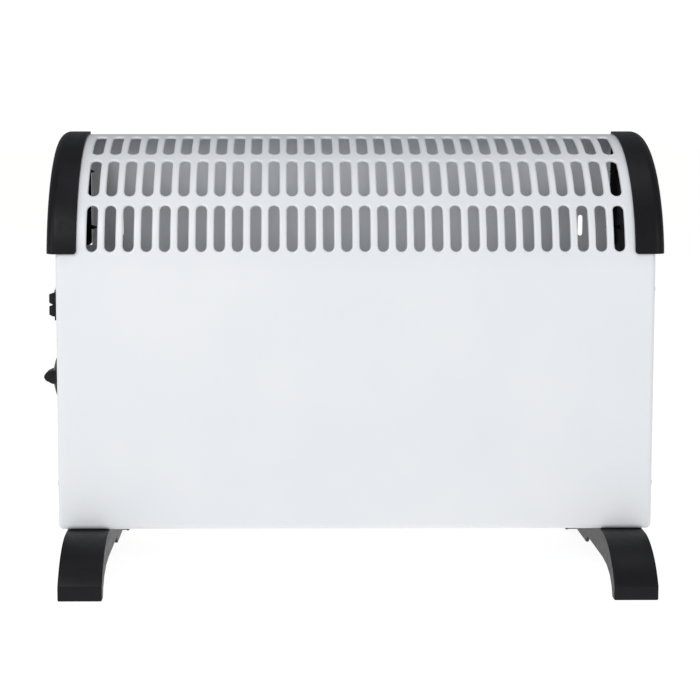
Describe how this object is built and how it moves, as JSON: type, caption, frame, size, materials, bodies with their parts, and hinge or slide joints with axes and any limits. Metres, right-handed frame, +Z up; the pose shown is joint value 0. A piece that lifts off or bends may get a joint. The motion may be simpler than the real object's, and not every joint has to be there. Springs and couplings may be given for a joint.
{
  "type": "fan convector heater",
  "caption": "Free-standing convector heater with a slotted steel casing, plastic end caps and feet, side rockers, a thermostat knob and an inner fan.",
  "frame": {"origin": "on the floor, under the middle of the casing", "axes": "+X across the heater to its right end, +Y to the back, +Z up"},
  "size_m": [0.5297, 0.241, 0.3835],
  "materials": {
    "casing_white": "semi-gloss powder coat",
    "black_plastic": "fine satin texture",
    "inner_black": "matt",
    "black_screw": "black zinc",
    "zinc_screw": "bright zinc",
    "galvanised": "galvanised sheet",
    "brass": "plain",
    "brown_phenolic": "moulded phenolic",
    "bimetal": "rolled strip",
    "mica": "pressed mica sheet",
    "heat_wire": "oxidised resistance wire",
    "cutout_case": "moulded case",
    "cast_bridge": "die cast",
    "lamination": "stacked steel sheet",
    "motor_shaft": "ground steel",
    "copper": "enamelled copper",
    "cream_nylon": "moulded nylon",
    "impeller_white": "moulded",
    "gland_rubber": "moulded",
    "brown_sleeve": "silicone sleeve",
    "blue_sleeve": "silicone sleeve",
    "green_sleeve": "silicone sleeve",
    "white_sleeve": "silicone sleeve"
  },
  "bodies": {
    "casing": {"front_panel": "casing_white", "back_panel": "casing_white", "bottom_plate": "galvanised", "left_side_panel": "casing_white", "right_side_panel": "casing_white", "left_end_cap": "black_plastic", "right_end_cap": "black_plastic", "left_cap_liner": "inner_black", "right_cap_liner": "inner_black", "cap_screws": "black_screw", "casing_screws": "zinc_screw", "left_foot": "black_plastic", "right_foot": "black_plastic", "foot_screws": "zinc_screw", "switch_housing": "black_plastic", "rocker_pivot_pin": "zinc_screw", "switch_terminals": "brass", "thermostat_bush": "brass", "thermostat_nut": "zinc_screw", "thermostat_body": "brown_phenolic", "thermostat_bimetal": "bimetal", "thermostat_terminals": "brass", "fan_shroud": "galvanised", "motor_bracket": "galvanised", "lower_bearing_bridge": "cast_bridge", "upper_bearing_bridge": "cast_bridge", "bearing_bushes": "brass", "stator_core": "lamination", "coil_bobbin": "cream_nylon", "stator_coil": "copper", "motor_screws": "zinc_screw", "left_element_bracket": "galvanised", "right_element_bracket": "galvanised", "mica_boards": "mica", "low_heat_wire": "heat_wire", "high_heat_wire": "heat_wire", "wire_studs": "zinc_screw", "heat_shield": "galvanised", "thermal_cutout": "cutout_case", "thermal_fuse": "zinc_screw", "terminal_block": "cream_nylon", "terminal_screws": "brass", "cord_gland": "gland_rubber", "cord_clamp": "galvanised", "live_wire": "brown_sleeve", "neutral_wire": "blue_sleeve", "earth_wire": "green_sleeve", "fan_wires": "white_sleeve"},
    "upper_switch": {"upper_rocker": "black_plastic"},
    "lower_switch": {"lower_rocker": "black_plastic"},
    "thermostat_knob": {"control_knob": "black_plastic", "control_shaft": "zinc_screw"},
    "fan_rotor": {"fan_impeller": "impeller_white", "fan_shaft": "motor_shaft", "motor_rotor": "cast_bridge"}
  },
  "joints": [
    {"name": "thermostat_turn", "type": "hinge", "parent": "casing", "child": "thermostat_knob", "pos_m": [-0.2531, -0.0255, 0.173], "axis": [1, 0, 0], "range_deg": [-45, 225]},
    {"name": "upper_switch_rock", "type": "hinge", "parent": "casing", "child": "upper_switch", "pos_m": [-0.2556, -0.0255, 0.2355], "axis": [0, 0, 1], "range_deg": [0, 20]},
    {"name": "lower_switch_rock", "type": "hinge", "parent": "casing", "child": "lower_switch", "pos_m": [-0.2556, -0.0255, 0.2355], "axis": [0, 0, 1], "range_deg": [0, 20]},
    {"name": "fan_spin", "type": "hinge", "parent": "casing", "child": "fan_rotor", "pos_m": [0, 0, 0.09], "axis": [0, 0, 1], "continuous": true}
  ]
}
